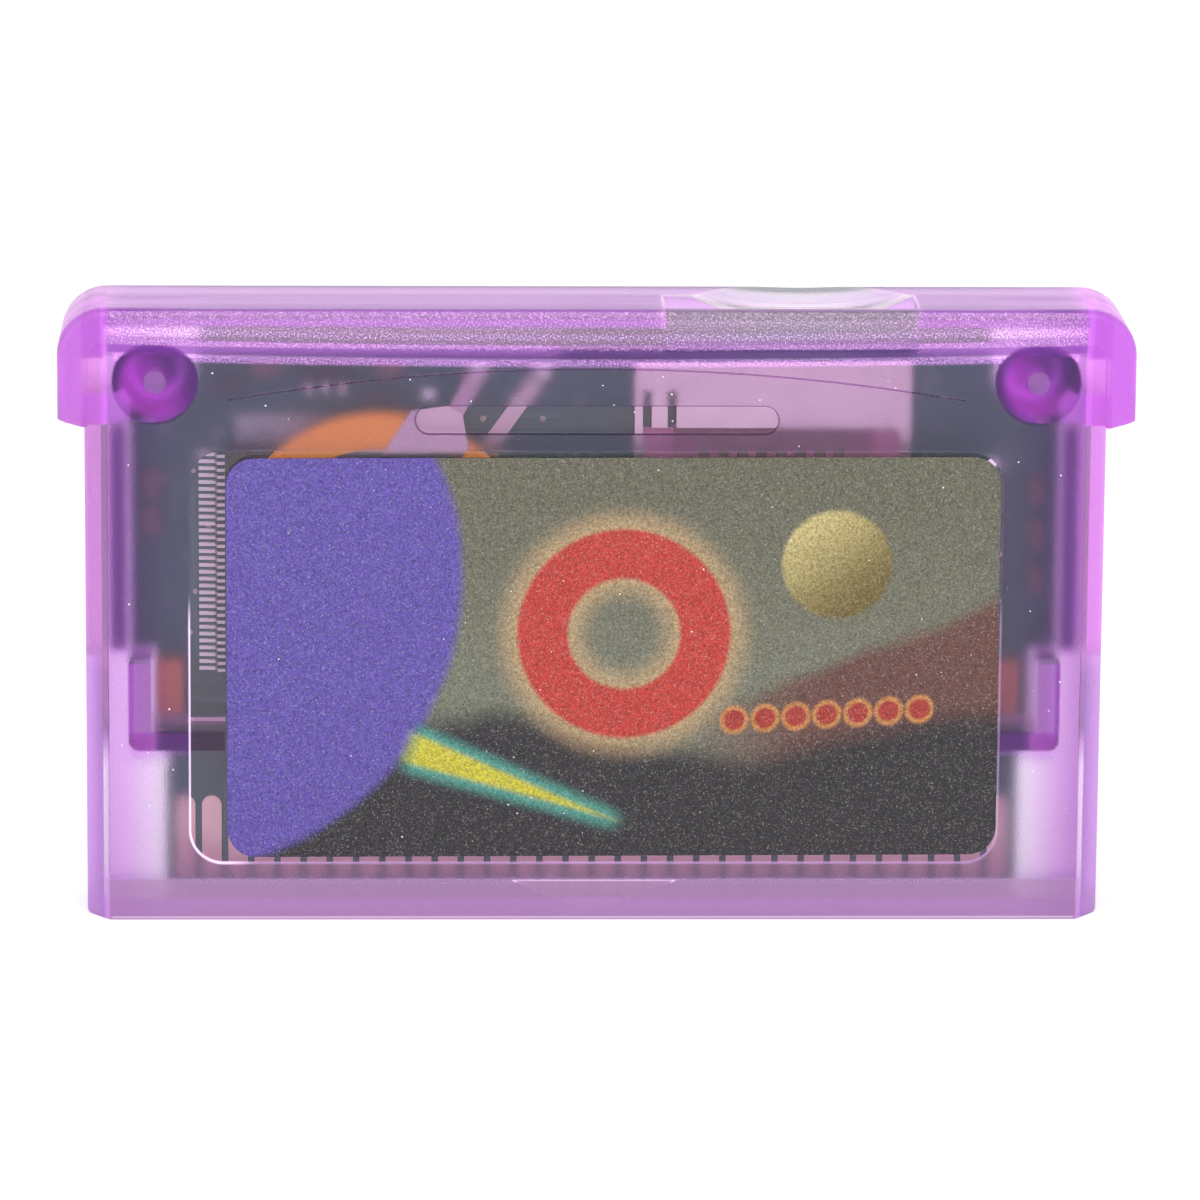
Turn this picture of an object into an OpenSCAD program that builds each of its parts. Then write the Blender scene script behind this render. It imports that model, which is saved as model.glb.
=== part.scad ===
// Flash cartridge for a handheld console, in millimetres.
// X runs to the right, the label faces -Y and +Z is up. The cartridge stands on its contact edge,
// and the origin is at the middle of its bottom. Outlines drawn in 2-D here are X and Z outlines.

/* [Case] */
// Overall height, from the contact edge to the top of the grip
case_h = 35.3; // [34.6:0.1:36.6]
// Width of the case below the grip
case_w = 57.55; // [57:0.05:58.6]
// How far the label face lies in front of the middle plane
face_front = 3.7; // [3.5:0.05:4.1]
// How far the back face lies behind the middle plane
face_back = 3.9; // [3.7:0.05:4.0]
// Wall thickness at the sides, top and bottom
wall = 1.15; // [0.9:0.05:1.2]
// Thickness of the front plate under the label face
plate_front = 1.0; // [0.9:0.05:1.1]
// Thickness of the back plate
plate_back = 1.1; // [0.8:0.05:1.3]
// Radius of the two bottom corners
bottom_r = 0.25; // [0.1:0.05:1.0]
// Width of the bevel along each long edge, across the face
side_bevel = 1.35; // [0.6:0.05:1.8]
// Depth of that bevel on the label side, down the case's side
bevel_front = 1.8; // [0.6:0.1:2.4]
// Depth of the bevel on the back
bevel_back = 0.6; // [0.4:0.1:1.6]
// Width of the small chamfer along the bottom's front edge
bottom_chamfer = 0.1; // [0.05:0.01:0.3]
// Height up to which the case is notched behind the contacts
notch_h = 14.8; // [13.5:0.1:16.5]
// How far the front case's skirt reaches back below that height
skirt_back = 2.3; // [1.9:0.05:2.8]
// Height of the opening at the back, over the contacts
mouth_h = 8.2; // [7.6:0.1:8.8]
// Gap between the two cases where they meet
parting_gap = 0.04; // [0.02:0.01:0.1]

/* [Grip] */
// Overall width of the grip, over both ears
grip_w = 60.4; // [60.2:0.1:62]
// How far the grip stands out in front of the label face
grip_proud = 0.8; // [0.6:0.05:1.1]
// Radius of the grip's top corners
grip_r = 2.6; // [2.6:0.1:3.2]
// Radius of the rolled edge around the grip's front
grip_edge_r = 0.6; // [0.3:0.05:0.9]
// Radius of the rolled edge around the grip's back
grip_back_r = 1.25; // [0.6:0.05:1.25]
// Height of the grip's front band at its middle
band_h = 2.0; // [1.6:0.1:2.4]
// Radius of the band's bowed lower edge
band_bow_r = 1040; // [700:20:2000]
// Height of the sloped fillet under the band
band_slope = 1.1; // [0.6:0.1:1.4]
// Height of the ears at the sides
ear_h = 6.25; // [5.6:0.1:7.4]

/* [Label face] */
// Width of the recess for the label
recess_w = 45.8; // [45.4:0.1:47.2]
// Height of the recess's lower edge
recess_z = 3.3; // [2.9:0.1:3.4]
// Height of the recess
recess_h = 23.85; // [23.8:0.05:24.2]
// Depth of the recess
recess_d = 0.3; // [0.15:0.05:0.4]
// Corner radius of the recess
recess_r = 1.9; // [1:0.1:2.5]
// Width of the label
label_w = 43.6; // [42:0.1:43.6]
// Height of the label
label_h = 23.05; // [22:0.05:23.05]
// Thickness of the label
label_t = 0.1; // [0.05:0.01:0.14]
// Corner radius of the label
label_r = 1.6; // [0.8:0.1:2.2]
// Gap between the label and the recess's right edge
label_gap = 0.1; // [0.1:0.05:0.6]
// Angle by which the label is stuck on askew
label_turn = 0.2; // [-0.3:0.1:0.3]
// Length of the polished window above the label
window_w = 20.4; // [16:0.1:24]
// Height of the polished window
window_h = 1.62; // [1.2:0.02:1.8]
// How far the window's middle line lies above the recess
window_up = 1.77; // [1.2:0.01:2.2]
// Radius of the curved crease under the grip
crease_r = 120; // [100:1:150]
// Width of the crease from end to end
crease_w = 41.4; // [30:0.2:46]
// How far the crease's middle lies below the band
crease_drop = 1.4; // [1.3:0.02:1.8]
// Width of the insertion mark at the bottom
mark_w = 9.4; // [6:0.1:11]
// Height of the insertion mark
mark_h = 2.0; // [1.2:0.1:2.2]

/* [Card way] */
// Middle of the card opening in the top wall, to the right of centre
card_x = 10.85; // [10.4:0.05:11.2]
// Width of the card opening
card_w = 14.15; // [13.4:0.05:14.6]
// Radius of the thumb scoop behind the card opening
scoop_r = 14.1; // [13.6:0.1:14.8]
// Depth of the thumb scoop at its deepest point
scoop_d = 1.8; // [1.2:0.1:2.2]

/* [Screws] */
// Distance of each boss from the case's side
boss_inset = 4.0; // [3.8:0.05:4.2]
// How far the bosses lie below the top
boss_drop = 4.25; // [4.1:0.05:4.9]
// Radius of a boss at the front plate
boss_root_r = 2.4; // [2.1:0.05:2.45]
// Radius of a boss at its free end
boss_tip_r = 1.6; // [1.4:0.05:1.9]
// Radius of a screw's shank
screw_r = 0.55; // [0.4:0.05:0.7]
// Radial clearance of a screw in its hole
screw_gap = 0.05; // [0.02:0.01:0.1]
// Radius of a screw's head
head_r = 1.35; // [1.1:0.05:1.6]
// Thickness of a screw's head
head_t = 0.7; // [0.5:0.05:0.9]

/* [Circuit board] */
// How far the board's front face lies behind the middle plane
board_y = 0.7; // [0.6:0.02:0.8]
// Thickness of the board
board_t = 0.9; // [0.8:0.02:1.0]
// Distance from the board's upper part to the case's side walls
board_side = 1.35; // [1.35:0.05:1.9]
// How much narrower the board is on each side between the ribs
waist_step = 1.4; // [1.35:0.05:1.7]
// How much narrower still the contact tongue is on each side
tongue_step = 0.5; // [0.3:0.05:0.55]
// Clearance between the board and what holds it
board_gap = 0.05; // [0.03:0.01:0.1]
// Number of contacts on each face
contact_n = 32; // [30:1:32]
// Distance between two contacts
contact_pitch = 1.5; // [1.4:0.01:1.5]
// Width of a contact
contact_w = 1.12; // [0.8:0.02:1.2]
// Length of a contact
contact_l = 4.8; // [4:0.1:5.0]

/* [Controller] */
// Side of the controller's square body
chip_w = 14; // [13.6:0.1:14.2]
// Distance across the tips of its leads
chip_span = 16; // [15.8:0.05:16.2]
// Thickness of the controller's body
chip_t = 1.0; // [0.8:0.05:1.0]
// Distance between two leads
lead_pitch = 0.4; // [0.35:0.01:0.42]
// Number of leads on each side
lead_n = 32; // [24:1:32]
// Distance from the board's left edge to the controller's middle
chip_inset = 10.95; // [10.7:0.05:11.2]
// How far the controller's middle lies above the middle of the board's free area
chip_up = 0.03; // [-0.2:0.01:0.4]

/* [Battery] */
// Diameter of the battery
cell_d = 16; // [15.2:0.1:16.2]
// Thickness of the battery
cell_t = 1.6; // [1.2:0.05:1.6]
// How far the insulating sleeve stands out around the battery
sleeve_out = 0.65; // [0.4:0.05:0.8]
// Width of the sleeve's rim over the battery's faces
sleeve_rim = 1.2; // [0.8:0.05:2.0]
// Thickness of the sleeve's rim
sleeve_t = 0.1; // [0.06:0.01:0.12]
// Thickness of the welded tabs
tab_t = 0.15; // [0.1:0.01:0.16]

/* [Card socket] */
// Width of the card socket
socket_w = 15.6; // [15.0:0.1:15.8]
// Length of the card socket
socket_l = 12.8; // [12.2:0.1:12.9]
// Distance from the card socket's mouth to the inside of the top wall
socket_drop = 2.25; // [2.1:0.05:2.6]
// How far the card socket's middle lies to the left of the card opening's
socket_left = 0.85; // [0.5:0.05:1.0]
// Depth of the card socket over the board
socket_t = 1.55; // [1.4:0.05:1.7]
// Thickness of the socket's metal cover
cover_t = 0.15; // [0.1:0.01:0.2]

/* [Small parts] */
// Width of a large capacitor
tan_w = 1.55; // [1.2:0.05:1.6]
// Length of a large capacitor
tan_l = 3.05; // [2.4:0.05:3.2]
// Thickness of a large capacitor
tan_t = 1.2; // [0.8:0.05:1.3]
// Width of a small chip part
small_w = 0.8; // [0.6:0.05:0.9]
// Length of a small chip part
small_l = 1.6; // [1.2:0.05:1.7]
// Thickness of a small capacitor
ceramic_t = 0.7; // [0.5:0.05:0.8]
// Thickness of a small resistor
resistor_t = 0.45; // [0.3:0.05:0.6]
// Width of the crystal's can
crystal_w = 2.5; // [2:0.1:2.5]
// Length of the crystal's can
crystal_l = 3.2; // [2.5:0.1:3.2]
// Width of the regulator's body
regulator_w = 2.9; // [2.7:0.05:3.1]
// Height of the regulator's body
regulator_h = 1.3; // [1.2:0.05:1.5]

/* [Hidden] */
$fn = 64;

// A hair that lets a cutter pass through the face it opens
eps = 0.01;
half_w = case_w / 2;
grip_half = grip_w / 2;
// The grip reaches as far behind the middle plane as in front of it
grip_y = face_front + grip_proud;
ear_z = case_h - ear_h;
ear_drop = 0.4;
cavity_half = half_w - wall;
cavity_front = -face_front + plate_front;
cavity_back = face_back - plate_back;
cavity_top = case_h - wall;
floor_t = wall - 0.05;
bar_h = 0.9;
scoop_y = -2.8;
band_z = case_h - band_h;
grip_inner_r = 1.4;
boss_x = half_w - boss_inset;
boss_z = case_h - boss_drop;
board_back = board_y + board_t;
board_half = cavity_half - board_side;
waist_half = board_half - waist_step;
tongue_half = waist_half - tongue_step;
// The back case is narrower between the notch and the mouth
arm_in = waist_half + 0.2;
arm_out = arm_in + 1.3;
rim_t = 0.9;
rim_out = cavity_half - 0.2;
rim_in = rim_out - rim_t;
block_top = notch_h + 6.6;
rim_top = boss_z - boss_root_r - 0.8;
boss_end = board_back + 0.35;
// Board outline
board_z0 = floor_t + 0.1;
tongue_top = mouth_h + 0.8;
waist_top = notch_h + 0.2;
board_top = cavity_top - 0.6;
board_tab_top = cavity_top - 0.12;
// The board's top corners are cut away beside the bosses
corner_x = boss_x - boss_root_r;
corner_z = boss_z + 1.4;
contact_t = 0.05;
contact_z = board_z0 + 0.25;
contact_top = contact_z + contact_l;
// Parts on the board
foot_t = 0.1;
standoff = 0.1;
chip_back = board_y - standoff;
chip_front = chip_back - chip_t;
chip_x = -waist_half + chip_inset;
chip_z = (contact_top + board_top) / 2 + chip_up;
sleeve_r = cell_d / 2 + sleeve_out;
sleeve_in_r = cell_d / 2 - sleeve_rim;
cell_x = chip_x + 1.75;
cell_z = chip_z + 0.31;
sleeve_back = chip_front - 0.02;
cell_back = sleeve_back - sleeve_t;
cell_front = cell_back - cell_t;
sleeve_front = cell_front - sleeve_t;
// A point at a distance outside the sleeve and an angle clockwise from the top
function around_cell(out, a) = [cell_x + (sleeve_r + out) * sin(a), cell_z + (sleeve_r + out) * cos(a)];
positive_joint = around_cell(3.56, 27.3);
negative_joint = around_cell(5.46, 40.7);
socket_front = board_y - socket_t;
socket_x = card_x - socket_left;
socket_z = cavity_top - socket_drop;
socket_x0 = socket_x - socket_w / 2;
socket_z0 = socket_z - socket_l;
// Memory beside the controller, under the card socket, and the save memory behind the board
pad_reach = chip_span / 2 + 0.5;
lead_reach = 0.8;
memory_gap = 0.545;
memory_pitch = 0.8;
memory_x0 = chip_x + pad_reach + 0.4;
memory_x1 = waist_half - 7.65;
memory_x = (memory_x0 + memory_x1) / 2;
memory_w = memory_x1 - memory_x0;
memory_n = floor(memory_w / memory_pitch);
memory_h = socket_z0 - contact_top - 2 * (lead_reach + memory_gap);
memory_z = contact_top + memory_gap + lead_reach + memory_h / 2;
capacitor_z = memory_z + 0.2;
// A row of small parts midway between the controller's pads and the board's top
top_row_z = (board_top + chip_z + pad_reach) / 2 + 0.2;
low_row_z = chip_z + pad_reach + 0.97;
regulator_x = chip_x - 1.3;
board_tab_x = -1.9;
board_tab_w = 20;
save_x = -3;
save_z = chip_z;
save_w = 11.8;
save_h = 8;
window_z = recess_z + recess_h + window_up;
crease_z = band_z - crease_drop;
// The L-shaped ribs of the front case, outside the controller's leads
rib_z = mouth_h + 1.5;
rib_h = 1.15;
rib_r = 0.6;
rib_back = board_back - 0.2;
rib_in = lead_n / 2 * lead_pitch - chip_x + 0.6;
card_pitch = 1.1;
window_d = 0.15;
mark_d = 0.35;
mark_z = 0.3;
label_x = recess_w / 2 - label_gap - label_w / 2;
label_z = recess_z + 0.4 + label_h / 2;
label_y = -face_front + recess_d;
glue_t = 0.02;

// An X and Z outline, given its thickness from y0 back to y1
module slab(y0, y1) {
    translate([0, y1, 0]) rotate([90, 0, 0]) linear_extrude(y1 - y0) children();
}

// A rectangle with rounded corners, as an outline
module round_rect(x0, x1, z0, z1, r) {
    translate([x0 + r, z0]) square([x1 - x0 - 2 * r, z1 - z0]);
    translate([x0, z0 + r]) square([x1 - x0, z1 - z0 - 2 * r]);
    for (x = [x0 + r, x1 - r], z = [z0 + r, z1 - r]) translate([x, z]) circle(r);
}

// A box between two corners
module box(x0, x1, y0, y1, z0, z1) {
    translate([x0, y0, z0]) cube([x1 - x0, y1 - y0, z1 - z0]);
}

// A round bar along Y
module rod(x, z, y0, y1, r0, r1) {
    translate([x, y1, z]) rotate([90, 0, 0]) cylinder(h = y1 - y0, r1 = r1, r2 = r0);
}

// The same thing on the left and on the right
module both_sides() {
    children();
    mirror([1, 0, 0]) children();
}

// Section of the case across X and Y, bevelled along the four long edges
module case_section() {
    polygon([
        [-half_w, bevel_front - face_front], [side_bevel - half_w, -face_front],
        [half_w - side_bevel, -face_front], [half_w, bevel_front - face_front],
        [half_w, face_back - bevel_back], [half_w - side_bevel, face_back],
        [side_bevel - half_w, face_back], [-half_w, face_back - bevel_back]
    ]);
}

// The case's body, with rounded bottom corners
module case_block() {
    intersection() {
        linear_extrude(case_h - grip_edge_r) case_section();
        translate([-half_w, 0, 0]) rotate([90, 0, 90]) linear_extrude(case_w) polygon([
            [-face_front, bottom_chamfer], [bottom_chamfer - face_front, 0], [face_back, 0],
            [face_back, case_h], [-face_front, case_h]
        ]);
        slab(-face_front, face_back) {
            translate([-half_w, bottom_r]) square([case_w, case_h]);
            translate([bottom_r - half_w, 0]) square([case_w - 2 * bottom_r, case_h]);
            for (x = [bottom_r - half_w, half_w - bottom_r]) translate([x, bottom_r]) circle(bottom_r);
        }
    }
}

// Half of the grip's section: a slab with rolled edges, reaching r from its axis
module grip_half_section(r) {
    translate([0, -grip_y]) square([r - grip_edge_r, grip_y]);
    square([r - grip_back_r, grip_y]);
    translate([0, grip_edge_r - grip_y]) square([r, 2 * grip_y - grip_edge_r - grip_back_r]);
    translate([r - grip_edge_r, grip_edge_r - grip_y]) circle(grip_edge_r);
    translate([r - grip_back_r, grip_y - grip_back_r]) circle(grip_back_r);
}

// The grip as one rolled slab: its top run, its two side runs and the corners that join them
module grip_block() {
    corner_x0 = grip_half - grip_r;
    corner_z0 = case_h - grip_r;
    translate([-corner_x0, 0, corner_z0]) rotate([90, 0, 90]) linear_extrude(2 * corner_x0)
        rotate(90) mirror([0, 1]) grip_half_section(grip_r);
    both_sides() {
        translate([corner_x0, 0, corner_z0]) rotate([-90, 0, 0]) rotate_extrude() grip_half_section(grip_r);
        difference() {
            translate([0, 0, ear_z - ear_drop]) linear_extrude(corner_z0 - ear_z + ear_drop)
                grip_half_section(grip_half);
            slab(-grip_y - 1, grip_y + 1) polygon([
                [half_w, ear_z - ear_drop - eps], [grip_half + 1, ear_z - ear_drop - eps],
                [grip_half + 1, ear_z + ear_drop * 0.5], [grip_half, ear_z], [half_w, ear_z - ear_drop]
            ]);
        }
    }
}

// What the grip's slab loses on each face, so that only its band and its ears stand proud
module grip_pocket() {
    slab(-grip_y - 1, -face_front)
        round_rect(0.25 - half_w, half_w - 0.25, ear_z - 2, band_z + 0.35, grip_inner_r);
}

// The band's bowed underside, sloping inwards to the label face
module band_cone() {
    translate([0, -face_front + eps, band_z + band_bow_r]) rotate([90, 0, 0]) cylinder(
        h = grip_proud + 1, r1 = band_bow_r + band_slope,
        r2 = band_bow_r - band_slope / grip_proud, $fn = 1440
    );
}

module band_cut_front() {
    difference() {
        grip_pocket();
        band_cone();
    }
}

module band_cut_back() {
    slab(face_back, grip_y + 1)
        round_rect(0.25 - half_w, half_w - 0.25, ear_z - 2, band_z - 0.4, grip_inner_r);
}

// The whole outside, before it is parted and hollowed
module outer_form() {
    case_block();
    difference() {
        grip_block();
        band_cut_front();
        band_cut_back();
    }
}

// Shallow pockets in the ears, level with the bosses
module ear_pockets(y0, y1) {
    both_sides() box(cavity_half - eps, half_w + 0.1, y0, y1, boss_z - 0.75, case_h - 3);
}

// A disc whose edge is the crease's arc, from in front of the face back to y1
module crease_disc(y1, r) {
    rod(0, crease_z - crease_r, -face_front - 1, y1, r, r, $fn = 720);
}

// A shallow groove along the crease's arc
module crease() {
    groove = 0.1;
    intersection() {
        difference() {
            crease_disc(-face_front + groove, crease_r);
            crease_disc(0, crease_r - groove);
        }
        box(-crease_w / 2, crease_w / 2, -face_front - 1, 0, crease_z - 4, crease_z + 1);
    }
}

// Everything that is moulded into the label face
module face_cuts() {
    window_r = window_h / 2;
    slab(-face_front - 1, label_y)
        round_rect(-recess_w / 2, recess_w / 2, recess_z, recess_z + recess_h, recess_r);
    slab(-face_front - 1, window_d - face_front)
        round_rect(-window_w / 2, window_w / 2, window_z - window_r, window_z + window_r, window_r - eps);
    insertion_mark();
    crease();
}

// A triangle that points to the contact edge, deepest along its upper side
module insertion_mark() {
    mark_top = mark_z + mark_h;
    intersection() {
        slab(-face_front - 1, 0) polygon([[-mark_w / 2, mark_top], [mark_w / 2, mark_top], [0, mark_z]]);
        translate([-mark_w / 2, 0, 0]) rotate([90, 0, 90]) linear_extrude(mark_w) polygon([
            [-face_front - 1, mark_z], [0.02 - face_front, mark_z],
            [mark_d - face_front, mark_top], [-face_front - 1, mark_top]
        ]);
    }
}

module boss() {
    difference() {
        rod(boss_x, boss_z, cavity_front - eps, boss_end, boss_root_r, boss_tip_r);
        rod(boss_x, boss_z, cavity_front + 0.6, boss_end + 1, screw_r + screw_gap, screw_r + screw_gap);
    }
}

// L-shaped rib on the front plate: the board lies on its foot, and its upright stands beside the board
module board_rib() {
    top = notch_h - parting_gap;
    box(rib_in, arm_in + eps, cavity_front - eps, board_y - board_gap, rib_z, rib_z + rib_h);
    slab(cavity_front - eps, rib_back) {
        translate([arm_in, rib_z + rib_r]) square([arm_out - arm_in, top - rib_z - rib_r]);
        translate([arm_in, rib_z]) square([arm_out - arm_in - rib_r, rib_r]);
        translate([arm_out - rib_r, rib_z + rib_r]) circle(rib_r);
    }
}

module front_shell() {
    notch_half = 1.7;
    notch_d = 0.6;
    color([0.80, 0.45, 0.90, 0.45]) {
        difference() {
            intersection() {
                outer_form();
                union() {
                    box(-grip_half, grip_half, -grip_y, 0, 0, case_h);
                    box(-half_w, half_w, -1, skirt_back, 0, notch_h - parting_gap);
                }
            }
            box(-cavity_half, cavity_half, cavity_front, face_back, floor_t, cavity_top);
            ear_pockets(cavity_front, 1);
            face_cuts();
            box(card_x - card_w / 2, card_x + card_w / 2, -face_front, 1, cavity_top - 1, case_h + 1);
            // A small notch in the bottom wall's back edge
            box(-notch_half, notch_half, skirt_back - notch_d, skirt_back + 1, -1, wall + 1);
        }
        both_sides() {
            boss();
            // Gusset from the boss to the side wall
            difference() {
                box(boss_x, cavity_half + eps, cavity_front - eps, -0.2, boss_z - 2.4, boss_z - 0.75);
                rod(boss_x, boss_z, -4, 4, screw_r + 0.5, screw_r + 0.5);
            }
            board_rib();
        }
    }
}

// The back case's rim: a low wall inside the front case, with a tall locating block
module locating_rim() {
    box(rim_in, rim_out, board_back - 1.4, cavity_back + eps, notch_h - 0.01, rim_top);
    box(rim_in, rim_out, cavity_front + 0.2, cavity_back + eps, notch_h - 0.01, block_top);
}

module back_shell() {
    color([0.80, 0.45, 0.90, 0.45]) difference() {
        intersection() {
            outer_form();
            union() {
                box(-grip_half, grip_half, parting_gap, grip_y, notch_h, case_h);
                box(-arm_out, arm_out, cavity_back - eps, grip_y, mouth_h, notch_h + 1);
            }
        }
        difference() {
            box(-cavity_half, cavity_half, -1, cavity_back, notch_h - 1, cavity_top);
            both_sides() locating_rim();
            both_sides() rod(boss_x, boss_z, boss_end + 0.05, cavity_back + 1, head_r + 0.6, head_r + 0.6);
            // Ribs that hold the board from behind
            box(-20, 20, board_back + board_gap, cavity_back + 1, case_h - 3.9, case_h - 3.1);
        }
        ear_pockets(-1, cavity_back);
        both_sides() {
            rod(boss_x, boss_z, -1, grip_y + 1, screw_r + 0.15, screw_r + 0.15);
            rod(boss_x, boss_z, face_back - head_t - 0.1, grip_y + 1, head_r + 0.15, head_r + 0.15);
        }
        translate([card_x + 0.75, scoop_y, case_h + scoop_r - scoop_d]) sphere(scoop_r, $fn = 96);
    }
    // Short arms beside the board and the bar over the mouth
    color([0.80, 0.45, 0.90, 0.45]) {
        both_sides() box(arm_in, arm_out, board_back, cavity_back + eps, mouth_h, notch_h + eps);
        box(-waist_half, waist_half, board_back + board_gap, cavity_back + eps, mouth_h, mouth_h + bar_h);
    }
}

module screw() {
    color("gainsboro") difference() {
        union() {
            rod(boss_x, boss_z, cavity_front + 0.8, face_back - 0.3, screw_r, screw_r);
            rod(boss_x, boss_z, face_back - head_t, face_back - 0.05, head_r, head_r - 0.15);
        }
        // Cross recess in the head
        for (a = [0, 90]) translate([boss_x, face_back - 0.05, boss_z]) rotate([0, a, 0])
            cube([1.5, 0.7, 0.3], center = true);
    }
}

module screw_left() {
    mirror([1, 0, 0]) screw();
}

module screw_right() {
    screw();
}

module board_outline() {
    r = 0.5;
    difference() {
        union() {
            round_rect(-tongue_half, tongue_half, board_z0, tongue_top + 1, r);
            translate([-waist_half, tongue_top]) square([2 * waist_half, waist_top - tongue_top + eps]);
            translate([-board_half, waist_top]) square([2 * board_half, board_top - waist_top]);
            translate([board_tab_x, board_top - eps]) square([board_tab_w, board_tab_top - board_top]);
        }
        for (s = [-1, 1]) translate([s * boss_x, boss_z]) circle(boss_root_r - 0.25);
        for (s = [-1, 1]) translate([s * (corner_x + 5) - 5, corner_z]) square([10, 10]);
    }
}

module circuit_board() {
    holes = [
        [chip_x + 4.5, board_top - 4.0], [board_half - 3.65, board_top - 7.95],
        [0.45 - waist_half, mouth_h + 0.2]
    ];
    color([0.20, 0.30, 0.28]) difference() {
        slab(board_y, board_back) board_outline();
        for (h = holes) rod(h[0], h[1], board_y - 1, board_back + 1, 0.35, 0.35);
    }
}

// One row of contacts with round tops, between two depths
module contact_row(y0, y1) {
    for (i = [0 : contact_n - 1]) {
        x = (i - (contact_n - 1) / 2) * contact_pitch;
        slab(y0, y1) {
            translate([x - contact_w / 2, contact_z]) square([contact_w, contact_l - contact_w / 2]);
            translate([x, contact_z + contact_l - contact_w / 2]) circle(contact_w / 2, $fn = 24);
        }
    }
}

module front_contacts() {
    color("gold") contact_row(board_y - contact_t, board_y);
}

module back_contacts() {
    color("gold") contact_row(board_back, board_back + contact_t);
}

// A moulded package with drafted sides, its front face at y0, centred on x and z
module package(x, z, w, h, y0, y1) {
    draft = 0.12;
    mid = (y0 + y1) / 2;
    intersection() {
        translate([x, 0, z - h / 2]) linear_extrude(h) polygon([
            [draft - w / 2, y0], [w / 2 - draft, y0], [w / 2, mid],
            [w / 2 - draft, y1], [draft - w / 2, y1], [-w / 2, mid]
        ]);
        translate([x - w / 2, 0, z]) rotate([90, 0, 90]) linear_extrude(w) polygon([
            [y0, draft - h / 2], [mid, -h / 2], [y1, draft - h / 2],
            [y1, h / 2 - draft], [mid, h / 2], [y0, h / 2 - draft]
        ]);
    }
}

// A gull-wing lead that leaves a body at r0 and ends on the board at r1, its foot at depth y
module gull_lead(r0, r1, mid, y, w, side) {
    heel = r1 - 0.45 * (r1 - r0);
    half_t = side * foot_t / 2;
    translate([0, 0, -w / 2]) linear_extrude(w) polygon([
        [r0, mid - half_t], [heel - 0.1, mid - half_t], [heel + 0.05, y - 2 * half_t], [r1, y - 2 * half_t],
        [r1, y], [heel - 0.05, y], [heel - 0.2, mid + half_t], [r0, mid + half_t]
    ]);
}

// Rows of leads along Z on the right of a package, centred on its middle
module lead_row(n, pitch, r0, r1, mid, y, w, side = 1) {
    for (i = [0 : n - 1]) translate([0, 0, (i - (n - 1) / 2) * pitch])
        gull_lead(r0, r1, mid, y, w, side);
}

module controller_body() {
    color([0.13, 0.13, 0.14]) difference() {
        package(chip_x, chip_z, chip_w, chip_w, chip_front, chip_back);
        translate([-chip_w / 2 + 1.2, 0, chip_w / 2 - 1.2])
            rod(chip_x, chip_z, chip_front - 1, chip_front + 0.06, 0.5, 0.5);
    }
}

module controller_leads() {
    mid = (chip_front + chip_back) / 2;
    color([0.80, 0.78, 0.76]) translate([chip_x, 0, chip_z]) for (a = [0 : 90 : 270]) rotate([0, a, 0])
        lead_row(lead_n, lead_pitch, chip_w / 2 + 0.005, chip_span / 2, mid, board_y - 0.03, 0.18);
}

module controller_pads() {
    pad = [1.05, 0.03, 0.22];
    color([0.80, 0.74, 0.70]) translate([chip_x, 0, chip_z]) for (a = [0 : 90 : 270]) rotate([0, a, 0])
        for (i = [0 : lead_n - 1]) translate([0, 0, (i - (lead_n - 1) / 2) * lead_pitch])
            translate([pad_reach - pad[0], board_y - pad[1], -pad[2] / 2]) cube(pad);
}

module coin_cell() {
    color([0.80, 0.80, 0.80]) rotate_y_profile(cell_x, cell_z) {
        // Can, crimped edge, and the smaller cap behind it
        translate([0, cell_front]) square([cell_d / 2 - 0.25, cell_t - 0.15]);
        translate([0, cell_front + 0.25]) square([cell_d / 2, cell_t - 0.4]);
        translate([cell_d / 2 - 0.25, cell_front + 0.25]) circle(0.25, $fn = 24);
        translate([0, cell_front + cell_t - 0.2]) square([cell_d / 2 - 1.4, 0.2]);
    }
}

// A revolve about a Y axis through x and z, of a profile drawn as radius and depth
module rotate_y_profile(x, z) {
    translate([x, 0, z]) rotate([-90, 0, 0]) rotate_extrude() children();
}

module battery_sleeve() {
    color([0.90, 0.55, 0.30]) rotate_y_profile(cell_x, cell_z) {
        depth = sleeve_back - sleeve_front;
        translate([cell_d / 2 + 0.03, sleeve_front]) square([sleeve_r - cell_d / 2 - 0.13, depth]);
        translate([sleeve_r - 0.2, sleeve_front + 0.1]) square([0.2, depth - 0.2]);
        translate([sleeve_in_r, sleeve_front]) square([cell_d / 2 - sleeve_in_r + 0.1, sleeve_t]);
        translate([sleeve_in_r, sleeve_back - sleeve_t]) square([cell_d / 2 - sleeve_in_r + 0.1, sleeve_t]);
    }
}

// A flat strip from one point to another, of a width and a thickness
module strip(a, b, w, t) {
    d = b - a;
    flat = sqrt(d[0] * d[0] + d[2] * d[2]);
    translate(a) rotate([0, -atan2(d[2], d[0]), 0]) rotate([0, 0, atan2(d[1], flat)])
        translate([0, -t / 2, -w / 2]) cube([norm(d), t, w]);
}

module positive_tab() {
    lean = 33;
    y = sleeve_front - 0.02;
    color([0.80, 0.76, 0.74]) {
        translate([cell_x, 0, cell_z]) rotate([0, lean, 0]) {
            slab(y - tab_t, y) polygon([
                [-3.45, -1.5], [0.4, -1.5], [0.4, sleeve_r - 0.15], [-0.9, sleeve_r + 1.25],
                [-1.85, sleeve_r + 1.25], [-3.45, sleeve_r - 0.15]
            ]);
            for (v = [-2.4, -0.6]) rod(v, 2.0, y - tab_t, cell_front, 0.4, 0.4);
        }
        positive_leg();
    }
}

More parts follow.
